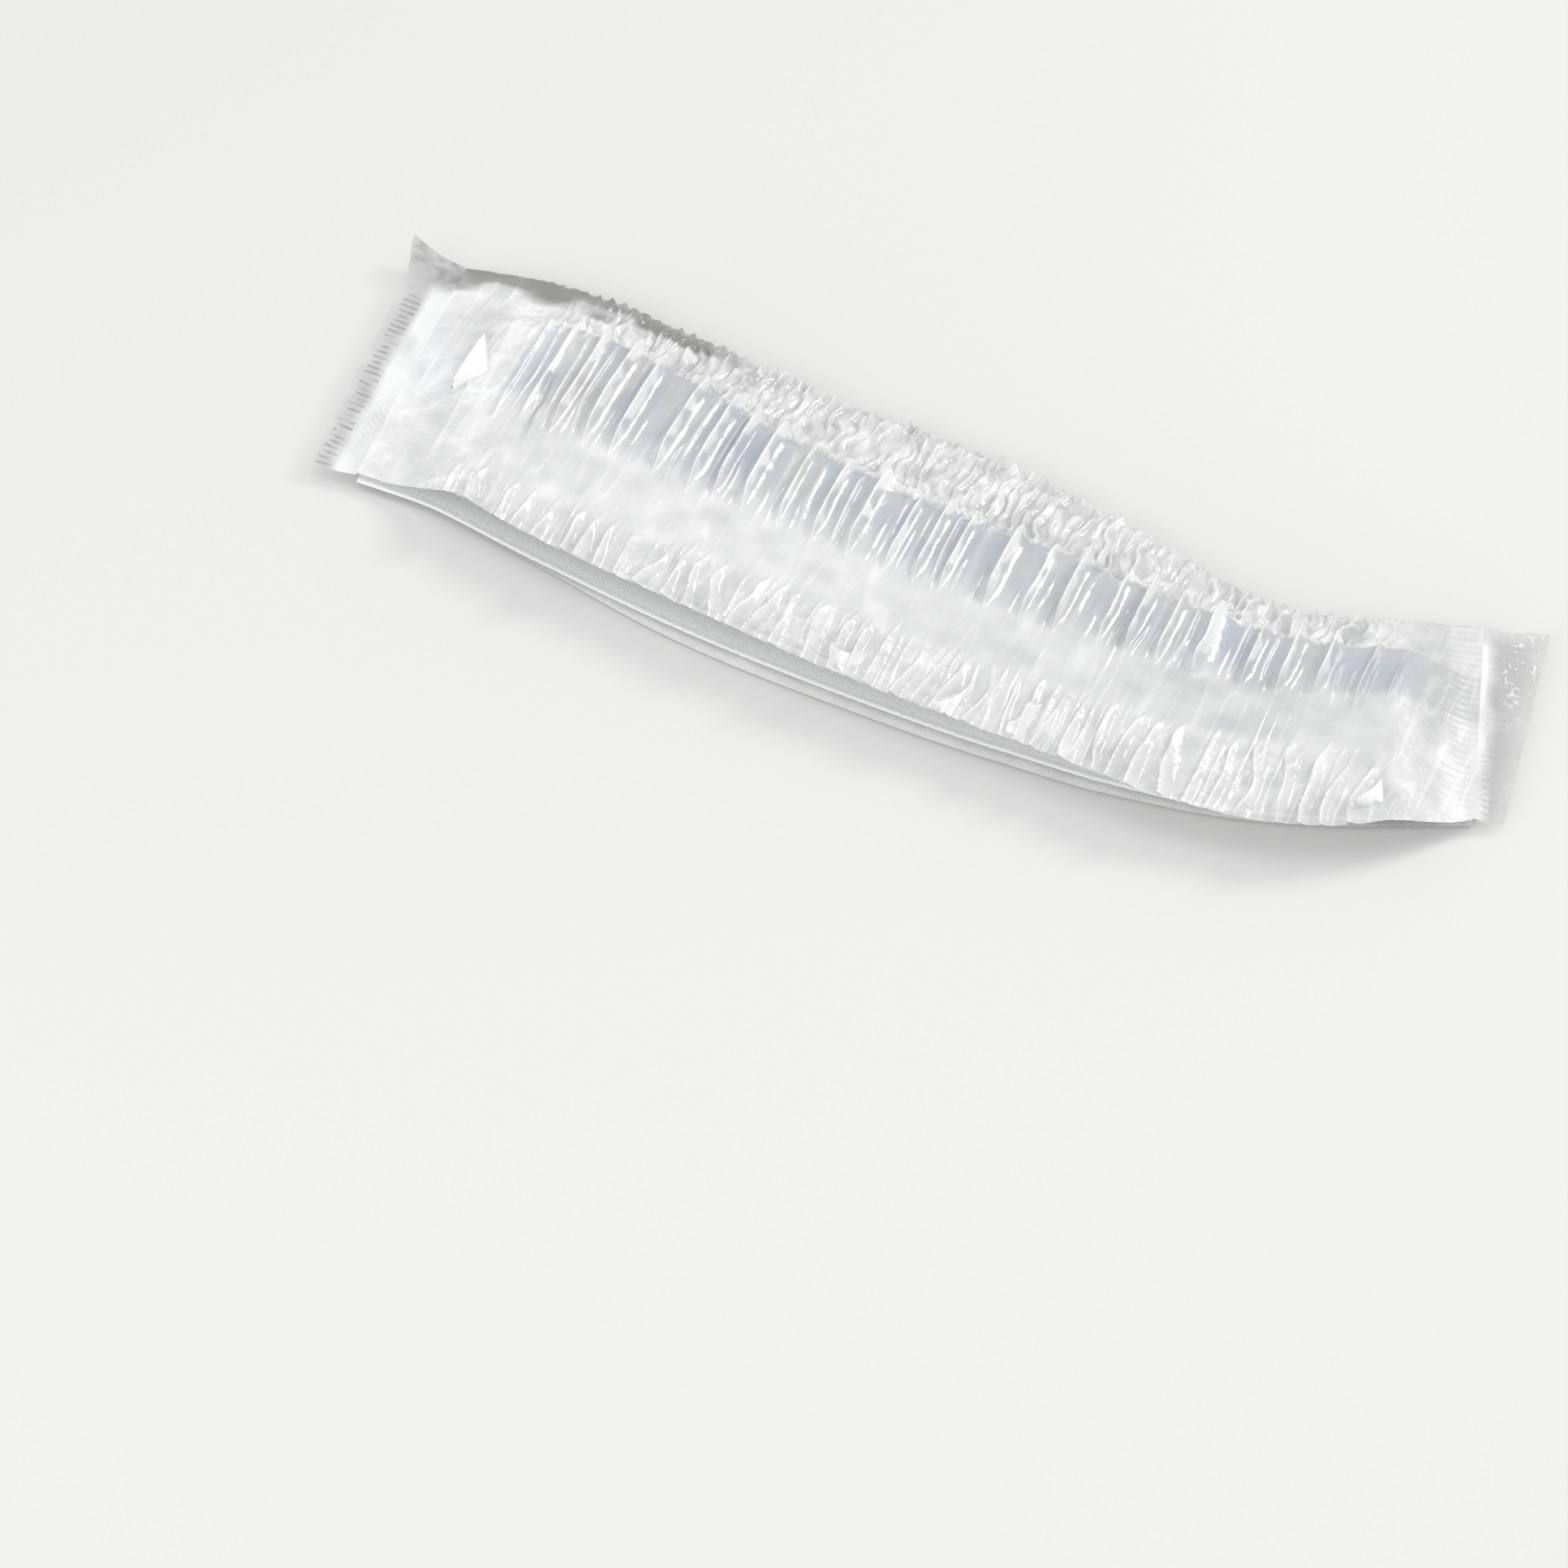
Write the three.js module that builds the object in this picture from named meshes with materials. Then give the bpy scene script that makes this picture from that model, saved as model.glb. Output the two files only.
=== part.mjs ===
// A disposable shower cap of thin clear film, folded and gathered into a strip as it comes out of its sachet.
// The film is one sheet: an upper side, a crown folded in between, and a lower side, pleated across.
// A flat elastic band is caught along each lip of the mouth, and both ends are welded flat into a tab.
// Millimetres, +Z up. The strip lies on z = 0 with its length along X and its mouth facing -Y.

import * as THREE from 'three';

// Driving dimensions.
const pleatPitch = 6.6; // from one ridge to the next
const stepsPerPleat = 3; // a narrow ridge and the two sides of a wide trough
const leftTaper = 32; // length over which the layers part from each other, next to the left weld
const rightTaper = 16; // and next to the right weld
const leftGather = { from: 10, to: 34 }; // where pleats begin and where they are full, from the left weld
const rightGather = { from: 9, to: 27 }; // and from the right weld
const seatGap = 0.3; // clear gap between pieces that touch
const elasticThickness = 0.8;
const weldThickness = 1.2;
const stackHeight = 3.4; // the layers lying on each other where a weld takes hold of them
const grip = 0.6; // length over which a weld presses the layers together
const rungPitch = 2; // ladder pattern pressed into the welds
const rungHeight = 0.5;
const rungSlope = 0.35;
const ladderWidth = 3.4;

// The strip from above, from left to right. side is its own line across the table, which bows towards the
// mouth and comes back at the right end. The rest lie beside that line, towards the far side: the upper lip,
// the two edges of the smooth band over the elastic, the crest of the wide pleats, the far fold and the
// lower lip.
const stations = [
  { along: -104, side: -1.2, lip: -28, bandNear: -23, bandFar: -11.5, crest: 12.5, far: 27.4, lowerLip: -28 },
  { along: -84, side: 0.6, lip: -31.3, bandNear: -25.5, bandFar: -13, crest: 12.5, far: 28.4, lowerLip: -30.5 },
  { along: -57, side: -2, lip: -34.4, bandNear: -26, bandFar: -12.5, crest: 11.5, far: 27.6, lowerLip: -33.5 },
  { along: -32, side: -5, lip: -34.9, bandNear: -24.6, bandFar: -12, crest: 7, far: 27.2, lowerLip: -36 },
  { along: 2, side: -8, lip: -36.2, bandNear: -24.4, bandFar: -12.6, crest: 5, far: 27.2, lowerLip: -36 },
  { along: 29, side: -11, lip: -35, bandNear: -22.5, bandFar: -10.6, crest: 6.2, far: 24.2, lowerLip: -33.8 },
  { along: 46, side: -13.2, lip: -33.8, bandNear: -20.2, bandFar: -8.4, crest: 6.8, far: 21.4, lowerLip: -31 },
  { along: 60, side: -13.8, lip: -33.8, bandNear: -18.6, bandFar: -7, crest: 6.8, far: 20, lowerLip: -28 },
  { along: 72, side: -12.2, lip: -33.2, bandNear: -17.4, bandFar: -6, crest: 6.8, far: 20, lowerLip: -26 },
  { along: 86, side: -8.6, lip: -29.4, bandNear: -15.4, bandFar: -4.4, crest: 7.2, far: 20.4, lowerLip: -24 },
  { along: 99, side: -5, lip: -22.6, bandNear: -13.4, bandFar: -3, crest: 8, far: 21, lowerLip: -22 },
];

// The film's own line across the strip, from the upper lip over the crest and the far fold to the lower lip.
// Each point lies a share of the way between two of the lines above, and height is where the strip is full.
// pleat and crinkle are depths from ridge to trough: pleat goes with the wide pleats, crinkle with the fine
// ones. scallop moves the ridges sideways, which makes an edge ragged. wall is the film's thickness.
const filmRows = [
  { from: 'lip', to: 'bandNear', share: 0, height: 9.3, pleat: 2.4, crinkle: 0.4, scallop: -1.6, wall: 1.5 },
  { from: 'lip', to: 'bandNear', share: 0.5, height: 9.4, pleat: 2.6, crinkle: 0.2, scallop: 0, wall: 1.6 },
  { from: 'lip', to: 'bandNear', share: 1, height: 9.4, pleat: 0.8, crinkle: 0, scallop: 0, wall: 1.1 },
  { from: 'bandNear', to: 'bandFar', share: 0.5, height: 9.7, pleat: 0.6, crinkle: 0, scallop: 0, wall: 1.1 },
  { from: 'bandNear', to: 'bandFar', share: 1, height: 10, pleat: 0.9, crinkle: 0, scallop: 0, wall: 1.2 },
  { from: 'bandFar', to: 'crest', share: 0.3, height: 10.3, pleat: 4.2, crinkle: 0, scallop: 0, wall: 2 },
  { from: 'bandFar', to: 'crest', share: 0.68, height: 10.5, pleat: 4.6, crinkle: 0, scallop: 0, wall: 2 },
  { from: 'bandFar', to: 'crest', share: 1, height: 10.3, pleat: 4.2, crinkle: 0.4, scallop: 0.6, wall: 1.9 },
  { from: 'crest', to: 'far', share: 0.16, height: 8.2, pleat: 2.4, crinkle: 0.4, scallop: 0.8, wall: 1.5 },
  { from: 'crest', to: 'far', share: 0.28, height: 6.3, pleat: 0.8, crinkle: 0.8, scallop: 0.4, wall: 1.3 },
  { from: 'crest', to: 'far', share: 0.5, height: 5.4, pleat: 0.6, crinkle: 1.5, scallop: 0, wall: 1.4 },
  { from: 'crest', to: 'far', share: 0.74, height: 5, pleat: 0.4, crinkle: 1.6, scallop: 0, wall: 1.4 },
  { from: 'crest', to: 'far', share: 0.93, height: 4, pleat: 0, crinkle: 1.2, scallop: 0.9, wall: 1.3 },
  { from: 'crest', to: 'far', share: 1, height: 2.3, pleat: 0, crinkle: 0.4, scallop: 0.9, wall: 1.1 },
  { from: 'crest', to: 'far', share: 0.86, height: 0.55, pleat: 0, crinkle: 0, scallop: 0, wall: 1.1 },
  { from: 'lowerLip', to: 'far', share: 0.5, height: 0.55, pleat: 0, crinkle: 0, scallop: 0, wall: 1.1 },
  { from: 'lowerLip', to: 'far', share: 0, height: 0.55, pleat: 0, crinkle: 0, scallop: 0, wall: 1.1 },
];
const upperStack = 3; // middle of the upper side at the welds

// Each elastic lies on the mouth's side of the film and runs from weld to weld.
const elastics = [
  { name: 'upper_elastic', from: 'bandNear', to: 'bandFar', share: 0.5, width: 8, height: 7.8 },
  { name: 'lower_elastic', from: 'lowerLip', to: 'bandNear', share: 0.4, width: 6, height: 1.75 },
];
const elasticStack = 1.75; // middle of an elastic at the welds

// Each weld runs across the strip's end. near and far are its ends across the strip, nearReach and farReach
// how far it stands out along the strip there. ladderStart is where its ladder begins, counted from the
// film's end, and ladderShare how much of the weld's length the ladder takes. lift is the rise of its outer
// edge off the table. The outer far corner stands out by flare across the strip and by tip along it, and
// curls up by curl.
const welds = [
  {
    name: 'left_end_seal', end: -1, near: -28.5, far: 27.6, nearReach: 8.4, farReach: 9.6,
    ladderStart: 4.6, ladderShare: 0.78, lift: 3, flare: 1.8, tip: 1.4, curl: 2.2,
  },
  {
    name: 'right_end_seal', end: 1, near: -22.5, far: 21, nearReach: 5, farReach: 11.5,
    ladderStart: 1, ladderShare: 1, lift: 1.4, flare: 0, tip: 0, curl: 0,
  },
];
const cornerShare = 0.78; // the corner begins here, as a share of the weld's length

const { clamp, lerp, smoothstep } = THREE.MathUtils;
const lineNames = Object.keys(stations[0]).slice(2);
const spine = new THREE.CatmullRomCurve3(stations.map((row) => new THREE.Vector3(row.along, row.side, 0)));
spine.arcLengthDivisions = 400;
const beside = new THREE.CubicInterpolant(
  stations.map((row) => row.along),
  stations.flatMap((row) => lineNames.map((name) => row[name])),
  lineNames.length,
);
const stripLength = spine.getLength();
const pleatCount = Math.round(stripLength / pleatPitch);
const stepCount = pleatCount * stepsPerPleat;

// A point beside the strip's line: along from its left end, across towards the far side, and up.
function place(along, across, height) {
  const share = clamp(along / stripLength, 0, 1);
  const beyond = along - share * stripLength;
  const point = spine.getPointAt(share);
  const ahead = spine.getTangentAt(share);
  return new THREE.Vector3(
    point.x + ahead.x * beyond - ahead.y * across,
    point.y + ahead.y * beyond + ahead.x * across,
    height,
  );
}

// Where a row lies across the strip.
function acrossOf(row, along) {
  const values = beside.evaluate(spine.getPointAt(clamp(along / stripLength, 0, 1)).x);
  return lerp(values[lineNames.indexOf(row.from)], values[lineNames.indexOf(row.to)], row.share);
}

// 0 at the welds and 1 where the strip is full.
function fullness(along) {
  return smoothstep(along, 0, leftTaper) * smoothstep(stripLength - along, 0, rightTaper);
}

// 0 where the film lies plain next to the welds and 1 where it is fully pleated.
function gather(along) {
  const left = smoothstep(along, leftGather.from, leftGather.to);
  return left * smoothstep(stripLength - along, rightGather.from, rightGather.to);
}

// Pleats run straight across the table, so they leave the square where the strip's own line slants.
function slanted(along, across) {
  const ahead = spine.getTangentAt(clamp(along / stripLength, 0, 1));
  return along + (fullness(along) * across * ahead.y) / ahead.x;
}

// Ridge to trough, from 0.5 to -0.5. Each pleat has its own strength.
function pleatWave(step) {
  const pleat = Math.floor(step / stepsPerPleat);
  const strength = 0.86 + 0.14 * Math.sin(2.3 * pleat);
  return strength * [0.5, -0.38, -0.5][step % stepsPerPleat];
}

// Fine crumpling, up and down from one step to the next.
function crinkleWave(step) {
  const strength = 0.8 + 0.2 * Math.sin(1.7 * step);
  return step % 2 ? -0.5 * strength : 0.5 * strength;
}

// A closed mesh through rings of points. Each ring goes along its upper side and back along its lower side,
// point opposite point, and the first and last ring are closed by a face from side to side.
function loft(rings) {
  const count = rings[0].length;
  const positions = rings.flat().flatMap((point) => [point.x, point.y, point.z]);
  const faces = [];
  for (let i = 0; i < rings.length - 1; i += 1) {
    for (let j = 0; j < count; j += 1) {
      const next = (j + 1) % count;
      const [a, b, c, d] = [i * count + j, i * count + next, (i + 1) * count + next, (i + 1) * count + j];
      faces.push(a, c, b, a, d, c);
    }
  }
  const last = (rings.length - 1) * count;
  for (let j = 0; j < count / 2 - 1; j += 1) {
    const [a, b, c, d] = [j, j + 1, count - 2 - j, count - 1 - j];
    faces.push(a, b, c, a, c, d);
    faces.push(last + a, last + c, last + b, last + a, last + d, last + c);
  }
  const geometry = new THREE.BufferGeometry();
  geometry.setAttribute('position', new THREE.Float32BufferAttribute(positions, 3));
  geometry.setIndex(faces);
  geometry.computeVertexNormals();
  return geometry;
}

// The film's section at one step along the strip: its line is thickened to both sides and then pleated.
function filmRing(step) {
  const start = (step / stepCount) * stripLength;
  const alongs = filmRows.map((row) => slanted(start, acrossOf(row, start)));
  const middle = filmRows.map((row, i) => new THREE.Vector2(
    acrossOf(row, alongs[i]),
    lerp(Math.min(upperStack, row.height), row.height, fullness(alongs[i])),
  ));
  const outside = [];
  const inside = [];
  filmRows.forEach((row, i) => {
    const before = middle[Math.max(i - 1, 0)];
    const after = middle[Math.min(i + 1, middle.length - 1)];
    const towards = after.clone().sub(before).normalize();
    const rise = gather(start) * (row.pleat * pleatWave(step) + row.crinkle * crinkleWave(step));
    const shift = gather(start) * row.scallop * (row.pleat > row.crinkle ? pleatWave(step) : crinkleWave(step));
    for (const [side, points] of [[0.5, outside], [-0.5, inside]]) {
      const across = middle[i].x - side * row.wall * towards.y + shift;
      const height = middle[i].y + side * row.wall * towards.x + rise;
      points.push(place(alongs[i], across, height));
    }
  });
  return [...outside, ...inside.reverse()];
}

function filmCap() {
  const rings = [];
  for (let step = 0; step <= stepCount; step += 1) rings.push(filmRing(step));
  return loft(rings);
}

function elasticBand(band) {
  const rings = [];
  for (let step = 0; step <= stepCount; step += 1) {
    const along = (step / stepCount) * stripLength;
    const across = acrossOf(band, along);
    const height = lerp(elasticStack, band.height, fullness(along));
    const [near, far] = [across - band.width / 2, across + band.width / 2];
    const [low, high] = [height - elasticThickness / 2, height + elasticThickness / 2];
    rings.push([place(along, near, high), place(along, far, high), place(along, far, low), place(along, near, low)]);
  }
  return loft(rings);
}

// A flat tab past the strip's end, thick where it takes hold of the layers, with a ladder of rungs on its top.
function endWeld(weld) {
  const ladderEnd = weld.ladderStart + ladderWidth;
  const profile = [
    { out: 0, top: stackHeight, rung: 0 },
    { out: grip, top: weldThickness, rung: 0 },
    { out: weld.ladderStart, top: weldThickness, rung: 0 },
    { out: weld.ladderStart + rungSlope, top: weldThickness, rung: rungHeight },
    { out: ladderEnd - rungSlope, top: weldThickness, rung: rungHeight },
    { out: ladderEnd, top: weldThickness, rung: 0 },
  ];
  const rings = [];
  const steps = Math.round((weld.far - weld.near) / rungPitch) * 2;
  const start = weld.end < 0 ? -seatGap : stripLength + seatGap;
  for (let step = 0; step <= steps; step += 1) {
    const share = step / steps;
    const corner = smoothstep(share, cornerShare, 1) ** 2;
    const reach = lerp(weld.nearReach, weld.farReach, share) + weld.tip * corner;
    const pressed = share < weld.ladderShare ? step % 2 : 0;
    const rows = [...profile, { out: reach, top: weldThickness, rung: 0 }];
    const at = (out, height) => {
      const across = lerp(weld.near, weld.far + (weld.flare * out) / reach, share);
      const bend = weld.lift * (out / reach) ** 2 + (weld.curl * corner * out) / reach;
      return place(start + weld.end * out, across, bend + height);
    };
    const top = rows.map((row) => at(row.out, row.top + pressed * row.rung));
    const bottom = rows.map((row) => at(row.out, 0)).reverse();
    rings.push([...top, ...bottom]);
  }
  return weld.end < 0 ? loft(rings) : loft(rings.reverse());
}

const film = new THREE.MeshStandardMaterial({ color: 0xe6eaed, roughness: 0.22, metalness: 0 });
const elastic = new THREE.MeshStandardMaterial({ color: 0xf3f3f1, roughness: 0.75, metalness: 0 });
const weldedFilm = new THREE.MeshStandardMaterial({ color: 0xd9dfe2, roughness: 0.3, metalness: 0 });

function piece(name, geometry, material) {
  const mesh = new THREE.Mesh(geometry, material);
  mesh.name = name;
  return mesh;
}

const cap = new THREE.Group();
cap.add(piece('film_cap', filmCap(), film));
for (const band of elastics) cap.add(piece(band.name, elasticBand(band), elastic));
for (const weld of welds) cap.add(piece(weld.name, endWeld(weld), weldedFilm));

// The origin is in the middle of the strip's outline, on the table.
const middle = new THREE.Box3().setFromObject(cap).getCenter(new THREE.Vector3());
cap.position.set(-middle.x, -middle.y, 0);

export default cap;
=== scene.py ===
from types import SimpleNamespace

import bpy
import numpy as np
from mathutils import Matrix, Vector


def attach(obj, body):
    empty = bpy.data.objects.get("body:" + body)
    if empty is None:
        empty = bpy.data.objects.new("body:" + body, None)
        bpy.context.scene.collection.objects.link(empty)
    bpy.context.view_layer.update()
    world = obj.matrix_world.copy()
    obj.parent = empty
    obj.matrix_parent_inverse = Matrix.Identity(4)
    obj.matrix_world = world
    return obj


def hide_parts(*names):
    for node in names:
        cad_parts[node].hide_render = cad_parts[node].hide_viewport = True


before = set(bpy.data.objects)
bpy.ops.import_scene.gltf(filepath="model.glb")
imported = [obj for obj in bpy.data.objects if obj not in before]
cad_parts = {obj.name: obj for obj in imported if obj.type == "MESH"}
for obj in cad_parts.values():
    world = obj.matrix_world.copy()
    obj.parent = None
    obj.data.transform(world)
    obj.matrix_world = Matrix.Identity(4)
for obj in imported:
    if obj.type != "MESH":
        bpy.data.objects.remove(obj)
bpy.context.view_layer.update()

# The upper film, from the upper lip over the elastic and the wide pleats to the crest.
# Blown polyethylene film of about 15 microns, gathered to less than half its length.
# The elastic under the smooth band sets the gathers, which lie over to one side between it and the crest.
MM = 0.001
ORIGIN = (3.890, 9.392)
STATIONS = np.array([
    # along, side, lip, band near, band far, crest, far fold, lower lip
    (-104, -1.2, -28, -23, -11.5, 12.5, 27.4, -28),
    (-84, 0.6, -31.3, -25.5, -13, 12.5, 28.4, -30.5),
    (-57, -2, -34.4, -26, -12.5, 11.5, 27.6, -33.5),
    (-32, -5, -34.9, -24.6, -12, 7, 27.2, -36),
    (2, -8, -36.2, -24.4, -12.6, 5, 27.2, -36),
    (29, -11, -35, -22.5, -10.6, 6.2, 24.2, -33.8),
    (46, -13.2, -33.8, -20.2, -8.4, 6.8, 21.4, -31),
    (60, -13.8, -33.8, -18.6, -7, 6.8, 20, -28),
    (72, -12.2, -33.2, -17.4, -6, 6.8, 20, -26),
    (86, -8.6, -29.4, -15.4, -4.4, 7.2, 20.4, -24),
    (99, -5, -22.6, -13.4, -3, 8, 21, -22),
])
LIP, BAND_NEAR, BAND_FAR, CREST, FAR_FOLD, LOWER_LIP = range(6)
ROWS = [
    # from, to, share, height
    (LIP, BAND_NEAR, 0, 9.3),
    (LIP, BAND_NEAR, 0.5, 9.4),
    (LIP, BAND_NEAR, 1, 9.6),
    (BAND_NEAR, BAND_FAR, 0.5, 9.8),
    (BAND_NEAR, BAND_FAR, 1, 10.1),
    (BAND_FAR, CREST, 0.3, 10.3),
    (BAND_FAR, CREST, 0.68, 10.5),
    (BAND_FAR, CREST, 1, 10.3),
    (CREST, FAR_FOLD, 0.16, 8.2),
    (CREST, FAR_FOLD, 0.28, 6.3),
    (CREST, FAR_FOLD, 0.5, 5.4),
    (CREST, FAR_FOLD, 0.74, 5),
    (CREST, FAR_FOLD, 0.93, 4),
    (CREST, FAR_FOLD, 1, 2.3),
    (CREST, FAR_FOLD, 0.86, 0.5),
    (LOWER_LIP, FAR_FOLD, 0.5, 0.5),
    (LOWER_LIP, FAR_FOLD, 0, 0.5),
]
STACK = 3.0
LEFT_TAPER, RIGHT_TAPER = 32, 16
LEAST_HEIGHT = 0.15


def through(knots, values, at):
    """Smooth curve through knots: on each span a cubic whose end slopes join each knot's two neighbours."""
    slopes = np.gradient(values, knots, axis=0)
    i = np.clip(np.searchsorted(knots, at, side="right") - 1, 0, len(knots) - 2)
    span = (knots[i + 1] - knots[i])
    u = (at - knots[i]) / span
    extra = values.ndim - 1
    u, span = (a.reshape(a.shape + (1,) * extra) for a in (u, span))
    return ((2 * u**3 - 3 * u**2 + 1) * values[i] + (u**3 - 2 * u**2 + u) * span * slopes[i]
            + (3 * u**2 - 2 * u**3) * values[i + 1] + (u**3 - u**2) * span * slopes[i + 1])


line_x = np.linspace(STATIONS[0, 0], STATIONS[-1, 0], 2001)
line_y = through(STATIONS[:, 0], STATIONS[:, 1], line_x)
line_slope = np.gradient(line_y, line_x)
line_along = np.concatenate([[0], np.cumsum(np.hypot(np.diff(line_x), np.diff(line_y)))])
LENGTH = line_along[-1]


def laid(along, across, height):
    """Points in metres: along the strip's line, then across at right angles to it, then up.
    Past an end of the line they go straight on."""
    on = np.clip(along, 0, LENGTH)
    x = np.interp(on, line_along, line_x)
    y = np.interp(on, line_along, line_y)
    slope = np.interp(on, line_along, line_slope)
    cos, sin = 1 / np.hypot(1, slope), slope / np.hypot(1, slope)
    past = along - on
    points = np.stack([x + cos * past - sin * across + ORIGIN[0],
                       y + sin * past + cos * across + ORIGIN[1], height + 0 * on], axis=-1)
    return points * MM


def ease(value, low, high):
    """0 below low, 1 above high, and smooth between them."""
    u = np.clip((value - low) / (high - low), 0, 1)
    return u * u * (3 - 2 * u)


def bump_between(row, start, full, fade, end):
    """Rises from 0 at start to 1 at full, and falls from 1 at fade to 0 at end."""
    return ease(row, start, full) * (1 - ease(row, fade, end))


def lines_beside(s):
    """How far across the strip's long lines lie, from lip to lower lip: smooth curves through STATIONS."""
    return through(STATIONS[:, 0], STATIONS[:, 2:], np.interp(s, line_along, line_x))


def fullness(s):
    """0 at the welds, where the layers lie pressed together, and 1 where the strip stands fully up."""
    return ease(s, 0, LEFT_TAPER) * (1 - ease(s, LENGTH - RIGHT_TAPER, LENGTH))


CELLS = 257
FIRST_CELL = 40


def cells(x, y, cell_x, cell_y):
    """The place in a grid of cells, in cells, and the cell's own two numbers."""
    gx, gy = x / cell_x + FIRST_CELL, y / cell_y + FIRST_CELL
    return gx, gy, np.floor(gx).astype(int), np.floor(gy).astype(int)


def uneven(x, y, cell_x, cell_y, seed):
    """Random heights from -1 to 1 at the corners of a grid of cells, joined smoothly inside each cell."""
    corners = np.random.default_rng(seed).uniform(-1, 1, (CELLS, CELLS))
    gx, gy, ix, iy = cells(x, y, cell_x, cell_y)
    ux, uy = gx - ix, gy - iy
    ux, uy = ux * ux * (3 - 2 * ux), uy * uy * (3 - 2 * uy)
    a, b = corners[ix % CELLS, iy % CELLS], corners[(ix + 1) % CELLS, iy % CELLS]
    c, d = corners[ix % CELLS, (iy + 1) % CELLS], corners[(ix + 1) % CELLS, (iy + 1) % CELLS]
    return (a * (1 - ux) + b * ux) * (1 - uy) + (c * (1 - ux) + d * ux) * uy


def facets(x, y, cell_x, cell_y, seed):
    """Height of crumpled film: distance to the nearest of the points strewn one to a cell.
    So its flats meet in creases."""
    rng = np.random.default_rng(seed)
    off_x, off_y = rng.random((2, CELLS, CELLS))
    gx, gy, ix, iy = cells(x, y, cell_x, cell_y)
    nearest = np.full(np.broadcast(gx, gy).shape, 9.0)
    for i in (-1, 0, 1):
        for j in (-1, 0, 1):
            px = ix + i + off_x[(ix + i) % CELLS, (iy + j) % CELLS]
            py = iy + j + off_y[(ix + i) % CELLS, (iy + j) % CELLS]
            nearest = np.minimum(nearest, np.hypot(gx - px, gy - py))
    return nearest


def scribbles(x, y, cell_x, cell_y, seed):
    """Thin wandering lines, 1 high, where random heights cross zero, and 0 between them."""
    return np.clip(1 - 3.5 * np.abs(uneven(x, y, cell_x, cell_y, seed)), 0, 1)


def ridges(count, sharp):
    """Narrow ridges, 1 high, at whole numbers of count, with wide flat troughs of 0 between them."""
    return np.exp(-sharp * (1 - np.cos(2 * np.pi * count)))


def patch(x, y, corners, soft):
    """1 inside a triangle whose corners run anticlockwise, 0 outside, and soft is its edge's width."""
    inside = np.ones(np.broadcast(x, y).shape)
    for (ax, ay), (bx, by) in zip(corners, corners[1:] + corners[:1]):
        away = ((bx - ax) * (y - ay) - (by - ay) * (x - ax)) / np.hypot(bx - ax, by - ay)
        inside = np.minimum(inside, away / soft + 0.5)
    return np.clip(inside, 0, 1)


def beyond(x, y, start, end):
    """How far a point is from the straight line between two points."""
    run = np.subtract(end, start)
    on = np.clip(((x - start[0]) * run[0] + (y - start[1]) * run[1]) / (run @ run), 0, 1)
    return np.hypot(x - start[0] - on * run[0], y - start[1] - on * run[1])


def film_section(s, row):
    """Where the film lies across and how high, and the way outwards, at right angles to its line.
    That line runs smoothly through ROWS, and its height grows from the welds' stack to the full strip."""
    beside = lines_beside(s[:, 0])
    full = fullness(s)
    across_rows = np.stack([beside[:, a] * (1 - share) + beside[:, b] * share for a, b, share, _ in ROWS])
    height_rows = np.stack([min(STACK, h) + (h - min(STACK, h)) * full[:, 0] for *_, h in ROWS])
    knots = np.arange(len(ROWS), dtype=float)
    lines = np.stack([across_rows, height_rows], axis=-1)
    section = through(knots, lines, row[0])
    across, height = section[:, :, 0].T, section[:, :, 1].T
    step = 0.02
    ahead = through(knots, lines, np.clip(row[0] + step, 0, len(ROWS) - 1))
    behind = through(knots, lines, np.clip(row[0] - step, 0, len(ROWS) - 1))
    run, rise = (ahead - behind)[:, :, 0].T, (ahead - behind)[:, :, 1].T
    size = np.hypot(run, rise)
    return across, height, -rise / size, run / size


def film_zones(s, row):
    """How far each place belongs to each zone of the film, from 0 to 1, by its row and place along."""
    zone = SimpleNamespace()
    zone.gathered = ease(s, 10, 34) * (1 - ease(s, LENGTH - 27, LENGTH - 9))
    zone.ribbed = ease(s, LENGTH - 7, LENGTH - 4.8)
    zone.lip_edge = 1 - ease(row, 0.2, 2.3)
    zone.lip = 1 - ease(row, 1.7, 2.4)
    zone.band = ease(row, 1.7, 2.4) * (1 - ease(row, 4.0, 5.6))
    zone.pleated = bump_between(row, 3.9, 5.0, 7.3, 8.5)
    zone.crest = bump_between(row, 6.6, 7.4, 7.9, 8.8)
    zone.frilled = bump_between(row, 7.5, 9.2, 12.6, 13.6)
    zone.near = 1 - ease(row, 8, 9)
    zone.upper = 1 - ease(row, 12.6, 13.4)
    zone.far = ease(row, 7.4, 8.4)
    zone.lower = ease(row, 13.3, 13.9)
    zone.pleats = 1 - zone.lip - zone.band - zone.far
    return zone


PLEAT_PITCH = 6.6
RUFFLE_PITCH = 4.5
FRILL_PITCH = 2.4
GATHER_PITCH = 2.2
RIB_PITCH = 1.5


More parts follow.
